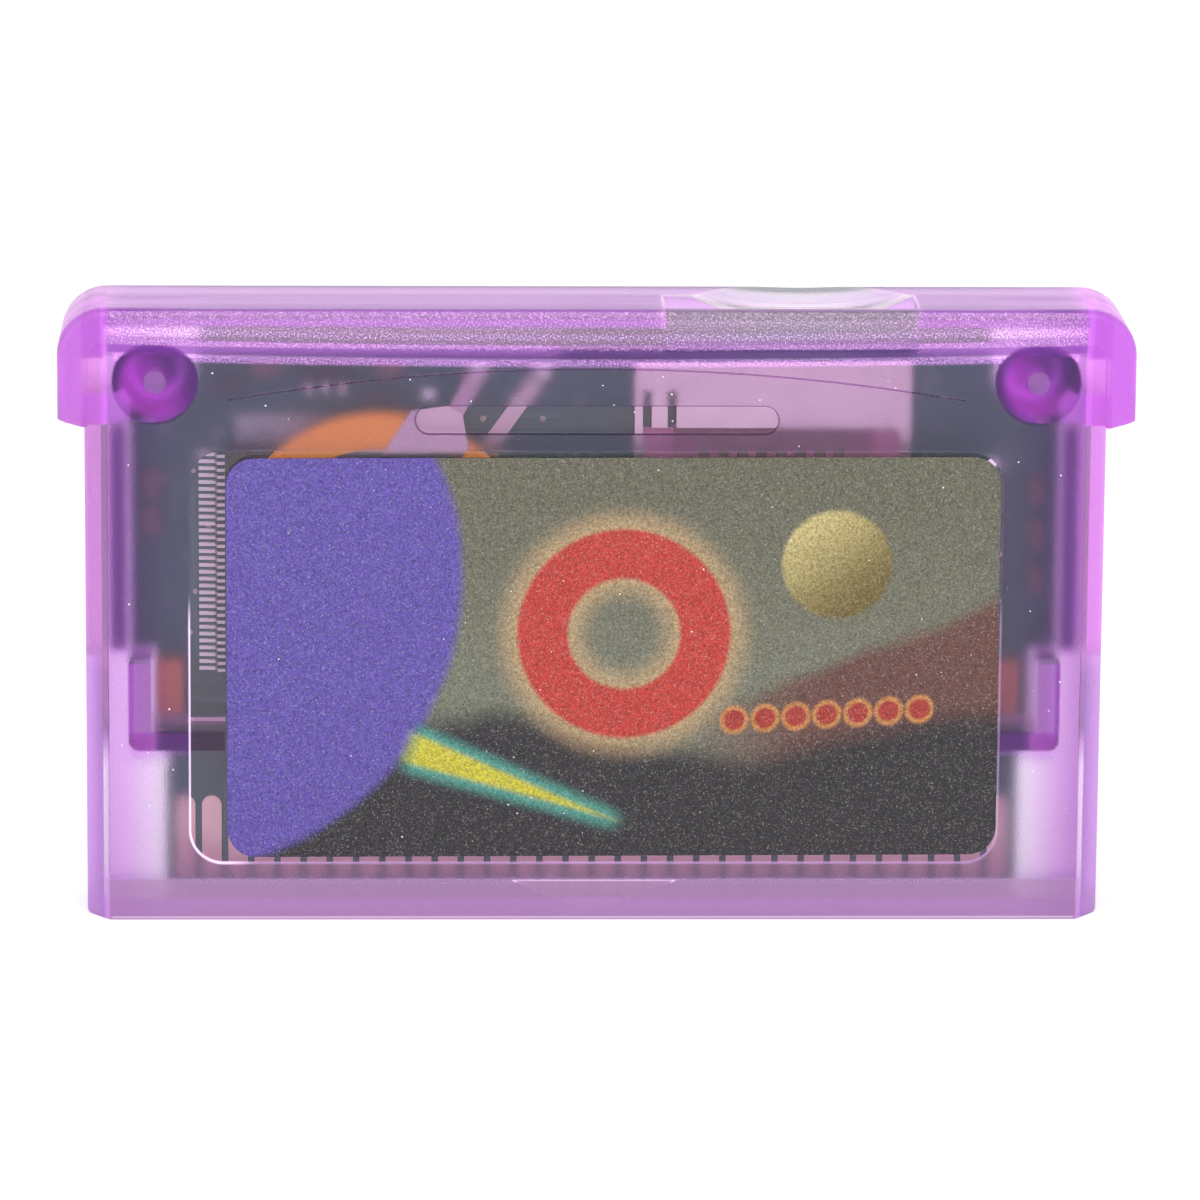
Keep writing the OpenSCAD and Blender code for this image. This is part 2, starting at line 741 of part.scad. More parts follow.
// The leg that comes down from the positive tab to its joint on the board
module positive_leg() {
    start = around_cell(1.19, 25.3);
    strip([start[0], sleeve_front - 0.02 - tab_t / 2, start[1]],
        [positive_joint[0], board_y - 0.1, positive_joint[1]], 0.95, tab_t);
}

// The negative tab leaves from under the cell and comes down beside the positive one
module negative_tab() {
    start = around_cell(0.19, 43.6);
    color([0.80, 0.76, 0.74]) strip([start[0], board_y - 0.35, start[1]],
        [negative_joint[0], board_y - 0.1, negative_joint[1]], 0.9, tab_t);
}

module tab_solder() {
    color([0.78, 0.78, 0.80]) difference() {
        for (p = [positive_joint, negative_joint]) rod(p[0], p[1], board_y - 0.5, board_y, 0.45, 0.85);
        positive_leg();
        negative_tab();
    }
}

module card_socket_base() {
    x0 = socket_x0 + cover_t + 0.05;
    x1 = socket_x0 + socket_w - cover_t - 0.05;
    color([0.15, 0.14, 0.17]) difference() {
        box(x0, x1, socket_front + cover_t + 0.02, board_y, socket_z0 + cover_t, socket_z - 0.5);
        box(socket_x - 5.6, socket_x + 5.6, socket_front - 1, board_y - 0.45, socket_z0 + 1.4, socket_z);
        for (i = [-3.5 : 3.5]) translate([socket_x + i * card_pitch, 0, socket_z0])
            box(-0.3, 0.3, 0, board_y - 0.15, 4, 8.6);
    }
}

module card_socket_cover() {
    x0 = socket_x0;
    x1 = socket_x0 + socket_w;
    window_top = socket_z - 3.9;
    color([0.78, 0.66, 0.76]) difference() {
        box(x0, x1, socket_front, board_y - 0.03, socket_z0, socket_z);
        box(x0 + cover_t, x1 - cover_t, socket_front + cover_t, board_y + 1,
            socket_z0 + cover_t, socket_z + 1);
        // Window over the card, and the two slots that free a spring finger
        slab(socket_front - 1, socket_front + 0.5)
            round_rect(x0 + 0.6, x1 - 0.6, socket_z0 + 1.4, window_top, 0.4);
        for (x = [0.45, 1.85]) translate([x0 + x, 0, 0])
            box(0, 0.5, socket_front - 1, socket_front + 0.5, window_top - 1, socket_z - 1.75);
        box(x0 - 1, x1 + 1, board_y - 0.6, board_y + 1, socket_z0 + 3, socket_z - 3);
    }
}

module card_socket_contacts() {
    color("gold") for (i = [-3.5 : 3.5]) translate([socket_x + i * card_pitch, board_y, socket_z0]) {
        box(-0.2, 0.2, -0.4, -0.2, 4.2, 8.2);
        box(-0.2, 0.2, -0.55, -0.2, 7.6, 8.2);
    }
}

module work_memory_body() {
    color([0.12, 0.12, 0.13]) package(memory_x, memory_z, memory_w, memory_h, chip_front, chip_back);
}

module work_memory_leads() {
    mid = (chip_front + chip_back) / 2;
    color([0.80, 0.78, 0.76]) translate([memory_x, 0, memory_z]) for (a = [90, 270]) rotate([0, a, 0])
        lead_row(memory_n, memory_pitch, memory_h / 2 + 0.005, memory_h / 2 + lead_reach, mid, board_y, 0.35);
}

module save_memory_body() {
    color([0.12, 0.12, 0.13]) package(save_x, save_z, save_w, save_h, board_back + 0.08, board_back + 0.98);
}

module save_memory_leads() {
    color([0.80, 0.78, 0.76]) translate([save_x, 0, save_z]) for (a = [0, 180]) rotate([0, a, 0])
        lead_row(16, 0.5, save_w / 2 + 0.005, save_w / 2 + lead_reach,
            board_back + 0.53, board_back, 0.2, -1);
}

// A chip part of thickness t that lies on the board's front
module chip_part(x, z, w, h, t) {
    box(x - w / 2, x + w / 2, board_y - t, board_y, z - h / 2, z + h / 2);
}

module capacitor_left() {
    color([0.67, 0.42, 0.44]) chip_part(-waist_half + tan_w / 2, capacitor_z, tan_w, tan_l, tan_t);
}

module capacitor_right() {
    color([0.67, 0.42, 0.44]) chip_part(waist_half - 1.45, capacitor_z, tan_w, tan_l, tan_t);
}

module ceramic_capacitors() {
    color([0.72, 0.62, 0.52]) {
        edge = board_half - 1.2;
        for (p = [[1, 9.35], [1, 11.95], [1, 14.55], [-1, 8.95], [-1, 11.15]])
            chip_part(p[0] * edge, board_top - p[1], small_w, small_l, ceramic_t);
        for (x = [-4.7, 2.3]) chip_part(chip_x + x, top_row_z, small_l, small_w, ceramic_t);
        // Four more lie on the board's back
        translate([0, board_t + ceramic_t, 0]) for (x = [-14, -10, 12, 16])
            chip_part(x, board_top - 5.95, small_w, small_l, ceramic_t);
    }
}

module chip_resistors() {
    color([0.16, 0.15, 0.17]) {
        beside = socket_x + socket_w / 2 + 2.8;
        for (d = [13.15, 15.55, 17.95]) chip_part(beside, board_top - d, small_w, small_l, resistor_t);
        for (p = [[-6.9, 0.8], [1.7, 0]])
            chip_part(chip_x + p[0], low_row_z + p[1], small_l, small_w, resistor_t);
    }
}

module crystal() {
    color([0.80, 0.80, 0.82])
        chip_part(socket_x + socket_w / 2 + 2.4, board_top - 9.4, crystal_w, crystal_l, 0.75);
}

module regulator_body() {
    color([0.14, 0.14, 0.15])
        package(regulator_x, top_row_z - 0.2, regulator_w, regulator_h, board_y - 1.0, board_y - 0.08);
}

module regulator_leads() {
    pitch = 0.95;
    root = regulator_h / 2 + 0.005;
    color([0.80, 0.78, 0.76]) translate([regulator_x, 0, top_row_z - 0.2]) {
        for (i = [-1 : 1]) translate([i * pitch, 0, 0]) rotate([0, 90, 0])
            gull_lead(root, root + 0.645, board_y - 0.54, board_y, 0.4, 1);
        for (i = [-1, 1]) translate([i * pitch, 0, 0]) rotate([0, -90, 0])
            gull_lead(root, root + 0.645, board_y - 0.54, board_y, 0.4, 1);
    }
}

module label() {
    color([0.40, 0.38, 0.60]) slab(label_y - glue_t - label_t, label_y - glue_t) translate([label_x, label_z])
        rotate(label_turn) round_rect(-label_w / 2, label_w / 2, -label_h / 2, label_h / 2, label_r);
}

front_shell();
back_shell();
screw_left();
screw_right();
circuit_board();
front_contacts();
back_contacts();
controller_body();
controller_leads();
controller_pads();
coin_cell();
battery_sleeve();
positive_tab();
negative_tab();
tab_solder();
card_socket_base();
card_socket_cover();
card_socket_contacts();
work_memory_body();
work_memory_leads();
save_memory_body();
save_memory_leads();
capacitor_left();
capacitor_right();
ceramic_capacitors();
chip_resistors();
crystal();
regulator_body();
regulator_leads();
label();
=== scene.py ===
# %% [markdown]
# A flash cartridge in a see-through purple shell
#
# This lesson dresses a small game cartridge, 60 mm wide, that stands on its contact edge. The solids come
# ready made: two moulded half shells, a green circuit board with its chips, a coin cell, a card socket and
# a paper label. Here they get their finishes. The hard part is the shell: real coloured plastic, frosted
# outside and polished inside, with everything behind it in view.

# %% Load the solids
import math

import bpy
from mathutils import Matrix, Vector


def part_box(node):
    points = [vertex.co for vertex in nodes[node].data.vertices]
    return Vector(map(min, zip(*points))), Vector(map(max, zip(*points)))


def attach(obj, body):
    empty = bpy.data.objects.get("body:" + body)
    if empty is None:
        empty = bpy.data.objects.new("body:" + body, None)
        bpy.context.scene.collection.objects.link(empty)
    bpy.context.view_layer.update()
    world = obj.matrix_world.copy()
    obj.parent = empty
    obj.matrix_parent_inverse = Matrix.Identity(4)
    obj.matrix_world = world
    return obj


MM = 0.001

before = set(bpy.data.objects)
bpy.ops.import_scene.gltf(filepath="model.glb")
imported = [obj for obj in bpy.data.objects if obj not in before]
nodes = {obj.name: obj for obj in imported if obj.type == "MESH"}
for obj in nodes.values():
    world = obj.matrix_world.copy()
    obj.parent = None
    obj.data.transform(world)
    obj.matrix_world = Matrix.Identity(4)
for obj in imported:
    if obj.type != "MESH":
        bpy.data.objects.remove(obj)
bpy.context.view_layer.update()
case_low, case_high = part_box("front_shell")
print("nodes:", len(nodes), "case width in mm:", round((case_high.x - case_low.x) / MM, 2))

# %% [markdown]
# The photograph was taken with a long lens from a little above, and a little to the left. Two standard
# pitches, that of the edge contacts and that of the controller's leads, give the scale. The camera was
# fitted to the photograph with them: a distance, two angles, a small roll, and a lens length in pixels.

# %% Camera
IMAGE_PX = 1200
LENS_PX = 7416.85
SENSOR_MM = 36.0
CAMERA_DISTANCE = 421.69 * MM
CAMERA_ELEVATION = math.radians(12.531)
CAMERA_YAW = math.radians(-1.831)
CAMERA_ROLL = math.radians(0.435)
AIM = Vector((-0.15 * MM, 0, 17.5 * MM))
CENTRE_PX = (591.2, 605.09)


def aimed_camera():
    """A camera that looks at AIM from the photograph's place."""
    lens = bpy.data.cameras.new("photo_camera")
    lens.sensor_width = SENSOR_MM
    lens.lens = LENS_PX * SENSOR_MM / IMAGE_PX
    lens.shift_x = (IMAGE_PX / 2 - CENTRE_PX[0]) / IMAGE_PX
    lens.shift_y = (CENTRE_PX[1] - IMAGE_PX / 2) / IMAGE_PX
    lens.clip_start = 0.01
    camera = bpy.data.objects.new("photo_camera", lens)
    bpy.context.scene.collection.objects.link(camera)
    away = Vector((
        math.cos(CAMERA_ELEVATION) * math.sin(CAMERA_YAW),
        -math.cos(CAMERA_ELEVATION) * math.cos(CAMERA_YAW),
        math.sin(CAMERA_ELEVATION),
    ))
    camera.location = AIM + away * CAMERA_DISTANCE
    facing = (-away).to_track_quat("-Z", "Y").to_matrix().to_4x4()
    camera.rotation_euler = (facing @ Matrix.Rotation(CAMERA_ROLL, 4, "Z")).to_euler()
    return camera


bpy.context.scene.camera = aimed_camera()
print("lens in mm:", round(bpy.context.scene.camera.data.lens, 1))

# %% [markdown]
# Shader trees get long when each sum is typed node by node. A Field stands for a number that changes over a
# surface, and Python's own signs build the Math nodes: writing a + b in the script puts an Add node in the
# tree.

# %% A small language for shader trees
def plug(tree, socket, value):
    """Links a field or a socket to an input, or sets the input to a plain value."""
    if isinstance(value, Field):
        value = value.socket
    if isinstance(value, bpy.types.NodeSocket):
        tree.links.new(value, socket)
    else:
        socket.default_value = value


def add_node(tree, kind, inputs=None, **settings):
    """A new node with its settings, and its inputs plugged by name or by number."""
    made = tree.nodes.new(kind)
    for name, value in settings.items():
        setattr(made, name, value)
    for name, value in (inputs or {}).items():
        plug(tree, made.inputs[name], value)
    return made


class Field:
    """A number that changes over a surface."""

    def __init__(self, tree, socket):
        self.tree = tree
        self.socket = socket

    def math(self, operation, *others):
        """A Math node with this field as its first input."""
        made = add_node(self.tree, "ShaderNodeMath", dict(enumerate((self, *others))), operation=operation)
        return Field(self.tree, made.outputs[0])

    def __add__(self, other):
        return self.math("ADD", other)

    def __sub__(self, other):
        return self.math("SUBTRACT", other)

    def __mul__(self, other):
        return self.math("MULTIPLY", other)

    def __abs__(self):
        return self.math("ABSOLUTE")

    def ramp(self, start, end, first, last):
        """The value first before start, last after end, and a smooth change between them."""
        inputs = {"Value": self, "From Min": start, "From Max": end, "To Min": first, "To Max": last}
        made = add_node(self.tree, "ShaderNodeMapRange", inputs, interpolation_type="SMOOTHSTEP")
        return Field(self.tree, made.outputs["Result"])

    def rise(self, start, end):
        """0 before start, 1 after end, and a smooth rise between them."""
        return self.ramp(start, end, 0.0, 1.0)

    def fall(self, start, end):
        """1 before start, 0 after end, and a smooth fall between them."""
        return self.ramp(start, end, 1.0, 0.0)

    def within(self, low, high, soft):
        """1 from low to high with soft ends, 0 elsewhere."""
        return self.rise(low - soft, low + soft) * self.fall(high - soft, high + soft)


def places_mm(tree):
    """The object coordinates x, y and z as fields, in millimetres."""
    place = add_node(tree, "ShaderNodeTexCoord").outputs["Object"]
    scaled = add_node(tree, "ShaderNodeVectorMath", {0: place, "Scale": 1 / MM}, operation="SCALE")
    split = add_node(tree, "ShaderNodeSeparateXYZ", {0: scaled.outputs[0]})
    return [Field(tree, split.outputs[axis]) for axis in "XYZ"]


def radius(*offsets):
    """The length of the way whose parts along each axis are the given fields."""
    total = offsets[0] * offsets[0]
    for offset in offsets[1:]:
        total = total + offset * offset
    return total.math("SQRT")


print("fields ready")

# %% [markdown]
# Colours, noise and materials get a short helper each. A texture that several finishes share is a node
# group with named inputs, built once and placed in each material with its own values. The shader itself
# stays outside it.

# %% Helpers for colours, textures and materials
def mix_colours(tree, share, first, second):
    """The first colour where share is 0, the second where it is 1. Sockets 6 and 7 take the colours."""
    made = add_node(tree, "ShaderNodeMix", {0: share, 6: first, 7: second}, data_type="RGBA")
    return made.outputs[2]


def tinted(tree, colour, parts):
    """A colour multiplied by each tint, as far as the tint's mask says."""
    for mask, tint in parts:
        inputs = {0: mask, 6: colour, 7: tint + (1.0,)}
        made = add_node(tree, "ShaderNodeMix", inputs, data_type="RGBA", blend_type="MULTIPLY")
        colour = made.outputs[2]
    return colour


def summed(tree, parts):
    """The sum of some colours, each scaled by its mask."""
    total = (0.0, 0.0, 0.0)
    for mask, colour in parts:
        lit = add_node(tree, "ShaderNodeVectorMath", {0: colour, "Scale": mask}, operation="SCALE")
        total = add_node(tree, "ShaderNodeVectorMath", {0: total, 1: lit.outputs[0]}).outputs[0]
    return total


def point_noise(tree, size_mm, detail=2.0, roughness=0.5):
    """Cloudy noise from 0 to 1 whose lumps are about size_mm across."""
    place = add_node(tree, "ShaderNodeTexCoord").outputs["Object"]
    inputs = {"Vector": place, "Detail": detail, "Roughness": roughness}
    made = add_node(tree, "ShaderNodeTexNoise", inputs)
    if isinstance(size_mm, Field):
        scale = size_mm.math("POWER", -1.0) * (1 / MM)
    else:
        scale = 1 / (size_mm * MM)
    plug(tree, made.inputs["Scale"], scale)
    return Field(tree, made.outputs["Fac"])


def shader_group(name, inputs, outputs):
    """An empty shader node group of number sockets, its inputs as fields by name, and its end node."""
    tree = bpy.data.node_groups.new(name, "ShaderNodeTree")
    for label, value in inputs.items():
        socket = tree.interface.new_socket(label, in_out="INPUT", socket_type="NodeSocketFloat")
        socket.default_value = value
    for label in outputs:
        tree.interface.new_socket(label, in_out="OUTPUT", socket_type="NodeSocketFloat")
    start = tree.nodes.new("NodeGroupInput")
    end = tree.nodes.new("NodeGroupOutput")
    return tree, {socket.name: Field(tree, socket) for socket in start.outputs if socket.name}, end


def use_group(tree, group, inputs):
    """Places a group in a material and returns its outputs."""
    made = tree.nodes.new("ShaderNodeGroup")
    made.node_tree = group
    for name, value in inputs.items():
        plug(tree, made.inputs[name], value)
    return made.outputs


def new_material(name, **values):
    """A material with a Principled shader, whose sockets are set by name."""
    material = bpy.data.materials.new(name)
    material.use_nodes = True
    shader = material.node_tree.nodes["Principled BSDF"]
    for label, value in values.items():
        shader.inputs[label.replace("_", " ")].default_value = value
    return material, material.node_tree, shader


def finish_node(names, material):
    """Gives a material to solids that came with the model."""
    for name in [names] if isinstance(names, str) else names:
        for slot in nodes[name].material_slots:
            slot.material = material


print("helpers ready")

# %% [markdown]
# The background is plain white, also as seen through the plastic and in the metal. Light Path tells the
# world what kind of ray asks: the camera's, mirror and see-through rays get full white, and the rays that
# only light the object get a softer sky. So the object isn't overlit, and the shell still shows white
# behind it.

# %% World and floor
SKY_LIGHT = 0.62
FLOOR_SIZE = 3.0
FLOOR_GAP = 0.02 * MM
FLOOR_GLOW = 0.42


def seen_directly(tree):
    """1 for camera, mirror and see-through rays, 0 for the rest."""
    path = add_node(tree, "ShaderNodeLightPath")
    mirror = Field(tree, path.outputs["Is Glossy Ray"])
    through = Field(tree, path.outputs["Is Transmission Ray"])
    return Field(tree, path.outputs["Is Camera Ray"]).math("MAXIMUM", mirror).math("MAXIMUM", through)


def white_world():
    world = bpy.data.worlds.new("studio")
    world.use_nodes = True
    tree = world.node_tree
    strength = seen_directly(tree) * (1.0 - SKY_LIGHT) + SKY_LIGHT
    plug(tree, tree.nodes["Background"].inputs["Color"], (1.0, 1.0, 1.0, 1.0))
    plug(tree, tree.nodes["Background"].inputs["Strength"], strength)
    return world


def white_floor():
    """A wide floor that shows white and keeps the object's soft shadow."""
    material = bpy.data.materials.new("studio_floor")
    material.use_nodes = True
    tree = material.node_tree
    tree.nodes.remove(tree.nodes["Principled BSDF"])
    diffuse = add_node(tree, "ShaderNodeBsdfDiffuse", {"Color": (0.86, 0.86, 0.87, 1.0)})
    glow = add_node(tree, "ShaderNodeEmission", {"Strength": seen_directly(tree) * FLOOR_GLOW})
    both = add_node(tree, "ShaderNodeAddShader", {0: diffuse.outputs[0], 1: glow.outputs[0]})
    plug(tree, tree.nodes["Material Output"].inputs["Surface"], both.outputs[0])
    mesh = bpy.data.meshes.new("floor")
    half = FLOOR_SIZE / 2
    corners = [(-half, -half), (half, -half), (half, half), (-half, half)]
    mesh.from_pydata([(x, y, -FLOOR_GAP) for x, y in corners], [], [(0, 1, 2, 3)])
    mesh.materials.append(material)
    floor = bpy.data.objects.new("floor", mesh)
    bpy.context.scene.collection.objects.link(floor)


bpy.context.scene.world = white_world()
bpy.context.scene.view_settings.view_transform = "Standard"
white_floor()
print("sky light:", SKY_LIGHT)

# %% [markdown]
# Two soft boxes model the form: a wide one high in front, and a smaller one from the left. They are large
# for their distance, so that their light also comes through the rough plastic without sparkling.

# %% Lamps
def soft_box(name, place, size, power):
    """A rectangular lamp that faces the middle of the case."""
    lamp = bpy.data.lights.new(name, "AREA")
    lamp.shape = "RECTANGLE"
    lamp.size, lamp.size_y = size
    lamp.energy = power
    holder = bpy.data.objects.new(name, lamp)
    bpy.context.scene.collection.objects.link(holder)
    holder.location = place
    holder.rotation_euler = (AIM - Vector(place)).to_track_quat("-Z", "Y").to_euler()


soft_box("box_above", (0.02, -0.26, 0.42), (0.42, 0.22), 0.85)
soft_box("box_left", (-0.42, -0.30, 0.16), (0.26, 0.26), 0.35)

# %% [markdown]
# Fine texture comes back in several finishes, so it is a group: the satin skin of metal, tooth on the
# printed paper, and the dull skin of the chip resin. Specks are random small dots, for flaws in the print.

# %% Shared groups
def grain_group():
    """Fine even grain: a height around 0.5, with a little of a coarser cloud."""
    tree, given, end = shader_group(
        "fine_grain",
        {"Size": 0.12, "Cloud Size": 4.0, "Cloud Share": 0.2},
        ["Height", "Cloud"],
    )
    fine = point_noise(tree, given["Size"], 1.5, 0.6)
    cloud = point_noise(tree, given["Cloud Size"], 3.0, 0.5)
    height = fine * (given["Cloud Share"] * -1.0 + 1.0) + cloud * given["Cloud Share"]
    plug(tree, end.inputs["Height"], height)
    plug(tree, end.inputs["Cloud"], cloud)
    return tree


def speck_group():
    """Scattered round dots: 1 inside a dot and 0 outside, with a share of the cells left empty."""
    tree, given, end = shader_group(
        "specks",
        {"Spacing": 0.8, "Dot Share": 0.12, "Amount": 0.3},
        ["Mask"],
    )
    place = add_node(tree, "ShaderNodeTexCoord").outputs["Object"]
    scale = given["Spacing"].math("POWER", -1.0) * (1 / MM)
    cells = add_node(tree, "ShaderNodeTexVoronoi", {"Vector": place, "Scale": scale})
    luck = add_node(tree, "ShaderNodeSeparateXYZ", {0: cells.outputs["Color"]})
    chosen = Field(tree, luck.outputs["X"]).math("LESS_THAN", given["Amount"])
    size = given["Dot Share"] * (Field(tree, luck.outputs["Y"]) * 0.7 + 0.3)
    inside = Field(tree, cells.outputs["Distance"]).math("LESS_THAN", size)
    plug(tree, end.inputs["Mask"], inside * chosen)
    return tree


FINE_GRAIN = grain_group()
SPECKS = speck_group()
print("groups:", [g.name for g in bpy.data.node_groups])

# %% [markdown]
# The shell is one colour of plastic all through, so its colour belongs to its volume: thin walls come out
# pale lavender and thick bosses deep violet, as in the real moulding. Volume Absorption takes most green,
# some red and little blue from each millimetre. The outside of such a mould is often spark eroded, which
# leaves a frost, while the label recess, the pill shaped window and all inner faces are polished. A mask
# made from the object's own coordinates tells the two apart.

# %% Frosted and polished faces
FACE_Y, BACK_Y = -3.62, 3.82
SIDE_X = 27.75
BEVEL_X, BEVEL_Y = 27.42, -3.0
TOP_Z, FLOOR_Z = 34.6, 0.5
FROST_ROUGHNESS, POLISH_ROUGHNESS = 0.36, 0.03


def front_mask(y):
    """1 on the case's face and in front of it, 0 behind it."""
    return y.fall(FACE_Y - 0.03, FACE_Y + 0.03)


def outside_mask(x, y, z):
    """1 on the frosted outside of the case, 0 on polished and inner faces."""
    wide = abs(x)
    total = front_mask(y)
    for part in (
        y.rise(BACK_Y - 0.03, BACK_Y + 0.03),
        wide.rise(SIDE_X - 0.05, SIDE_X + 0.05),
        wide.rise(BEVEL_X - 0.05, BEVEL_X + 0.05) * y.fall(BEVEL_Y - 0.05, BEVEL_Y + 0.05),
        z.rise(TOP_Z - 0.05, TOP_Z + 0.05),
        z.fall(FLOOR_Z - 0.05, FLOOR_Z + 0.05),
    ):
        total = total.math("MAXIMUM", part)
    return total


print("roughness, frosted and polished:", FROST_ROUGHNESS, POLISH_ROUGHNESS)

# %% [markdown]
# Frosted plastic also glows, because light that entered elsewhere is scattered inside it and comes out all
# over. Tracing that light needs very many samples, so here it is painted: each region of the case gets a
# little painted light of its own, or a tint of painted shade where the plastic looks deeper and darker;
# only the grain tints are a random tone. The amounts were fitted to one photograph, by measuring, so they
# hold for its side and are a guess from the others. Each region is a mask made from the places of the
# case's own forms, in millimetres. First come the regions of the grip.
# region is a mask made from the places of the case's own forms, in millimetres. First come the regions of
# the grip.

# %% Regions of the grip
BOSS_X, BOSS_Z = 24.775, 31.05
BAND_Z, BAND_BOW = 33.3, 1040.0
LIP_Y = -4.25
SCOOP_CENTRE, SCOOP_R = (11.6, -2.8, 47.6), 14.1
CARD_X, CARD_HALF = 10.85, 7.2


def boss_offsets(x, z):
    """How far each point lies from the axis of the nearer screw boss, across and up."""
    return x - x.math("SIGN") * BOSS_X, z - BOSS_Z


def grip_regions(x, y, z, grain):
    """Masks of the frost, the sides, the lip, the slope under it, the ears, the top and its cuts."""
    wide, front, frost = abs(x), front_mask(y), outside_mask(x, y, z)
    under = z - BAND_Z - x * x * (0.5 / BAND_BOW)
    lip = y.fall(LIP_Y - 0.05, LIP_Y + 0.05)
    lip_middle = lip * wide.fall(27.2, 27.6)
    lip_soft = lip * wide.fall(26.4, 28.4)
    side = wide.rise(27.3, 27.5)
    above_skirt = z.rise(14.0, 15.6)
    rounded = wide.rise(26.4, 28.4) * z.rise(32.6, 33.4)
    slope = y.fall(-3.68, -3.6) * z.fall(33.9, 34.1)
    off_boss = radius(*boss_offsets(x, z))
    glitter = grain.rise(0.44, 0.62) * 0.9 + 0.25
    ball = [axis - centre for axis, centre in zip((x, y, z), SCOOP_CENTRE)]
    off_ball = abs(radius(*ball) - SCOOP_R)
    card_way = x.within(CARD_X - CARD_HALF, CARD_X + CARD_HALF, 0.03) * y.within(-3.6, 0.9, 0.02)
    return {
        "frost": frost,
        "edge_high": (side * z.fall(32.6, 33.4) + rounded) * frost * above_skirt,
        "right": side * frost * x.rise(0.0, 0.1) * above_skirt,
        "ears": frost * wide.rise(28.75, 28.9),
        "lip": lip_soft * z.rise(33.0, 33.2),
        "lip_edge": lip_middle * under.within(0.30, 0.66, 0.10) * grain.rise(0.42, 0.60),
        "lip_grain": lip_soft * grain.fall(0.42, 0.54),
        "sparkle": lip_middle * grain.rise(0.54, 0.64),
        "frost_grain": frost * grain.fall(0.40, 0.52),
        "slope_dark": slope * under.within(-0.84, 0.20, 0.06) * wide.fall(27.3, 27.6),
        "glint": front * under.within(-1.34, -0.90, 0.11) * glitter * off_boss.rise(2.3, 2.45)
        * wide.fall(26.9, 27.2),
        "top": z.rise(35.15, 35.25) * abs(front - 1.0),
        "scoop": off_ball.fall(0.03, 0.08) * z.rise(33.42, 33.46) * y.rise(0.1, 0.2),
        "notch": card_way * z.rise(33.9, 34.1),
    }


print("screw bosses at:", BOSS_X, BOSS_Z)

# %% [markdown]
# The face has a label recess and a window, both rounded rectangles, and two bosses that show through it.
# Behind it stand the ribs and the locating blocks, and below it lies the foot, a band along the bottom
# edge. A distance from a rounded outline draws the thin rims of painted highlight and painted shade.

# %% Regions of the face and of what stands behind it
RECESS_HALF, RECESS_MID, RECESS_R = (22.9, 11.925), 15.225, 1.9
PILL_HALF, PILL_Z, PILL_R = 10.2, 28.92, 0.81
FOOT_Z = 2.4


def off_outline(x, z, half_x, half_z, corner_r):
    """How far a point lies from a rounded rectangle's outline, at its corners and beyond."""
    past_x = (abs(x) - (half_x - corner_r)).math("MAXIMUM", 0.0)
    past_z = (abs(z) - (half_z - corner_r)).math("MAXIMUM", 0.0)
    return abs(radius(past_x, past_z) - corner_r)


def face_regions(x, y, z):
    """Masks of the recess, the window, the bosses and the darker sides of the face."""
    wide, front = abs(x), front_mask(y)
    boss_u, boss_v = boss_offsets(x, z)
    off_boss = radius(boss_u, boss_v)
    off_recess = off_outline(x, z - RECESS_MID, *RECESS_HALF, RECESS_R)
    off_pill = off_outline(x, z - PILL_Z, PILL_HALF, PILL_R, PILL_R)
    left_share = x.fall(-21.0, -19.0) * 0.8 + 0.2
    boss_ring = off_boss.rise(0.5, 0.8) * off_boss.fall(1.6, 2.3)
    return {
        "side_shade": front * wide.rise(23.2, 27.0),
        "right_side_shade": front * x.rise(23.6, 27.2),
        "walls": y.within(-3.67, -3.575, 0.01) * wide.fall(23.2, 23.3) * z.within(2.9, 32.0, 0.1),
        "recess_edge": off_recess.fall(0.03, 0.08) * y.fall(-3.38, -3.36) * z.fall(17.0, 19.0) * left_share,
        "pill_rim": off_pill.fall(0.03, 0.06) * y.fall(-3.5, -3.46),
        "boss_hole": front * off_boss.fall(0.60, 0.66),
        "boss_disc": front * off_boss.fall(2.35, 2.5),
        "boss_glow": front * boss_ring * (boss_u + boss_v).fall(-1.2, 2.2),
    }


def lower_regions(x, y, z, grain):
    """Masks of the foot, the small mark on it, the side seams, the ribs and the blocks."""
    wide, front = abs(x), front_mask(y)
    foot = y.fall(-3.34, -3.3)
    deep = y.within(-2.2, 2.6, 0.08)
    foot_top = front * z.within(FOOT_Z - 0.3, FOOT_Z + 0.1, 0.15)
    return {
        "foot": foot * z.fall(FOOT_Z - 0.08, FOOT_Z + 0.08),
        "foot_line": front * z.within(0.10, 0.20, 0.04) * wide.fall(27.2, 27.5),
        "foot_top": foot_top * grain.rise(0.50, 0.64) * wide.fall(22.0, 25.0),
        "mark_top": y.rise(-3.695, -3.67) * foot * z.within(2.18, 2.38, 0.04) * wide.fall(4.5, 4.9),
        "seam": wide.within(27.45, 27.78, 0.05) * y.fall(-2.9, -2.8),
        "blocks": deep * wide.within(25.3, 27.45, 0.05) * z.within(15.0, 28.2, 0.1),
        "ribs": deep * wide.fall(26.1, 26.3) * z.within(9.0, 21.0, 0.1),
        "rib_feet": front * wide.within(20.0, 26.05, 0.08) * z.within(9.6, 10.9, 0.1),
        "rib_arms": front * wide.within(24.9, 26.05, 0.12) * z.within(10.9, 15.2, 0.1),
    }


print("recess in mm:", 2 * RECESS_HALF[0], "by", 2 * RECESS_HALF[1])

# %% [markdown]
# Now the plastic itself: a Principled shader that lets all light through, and a body that absorbs it. A
# tint multiplies the base colour, and a glow is added as emission. Cycles takes the square root of the base
# colour at each surface that light crosses, so a tint shows in full after two of them. Cycles is also told
# not to sample the glow as a lamp, which saves render time.

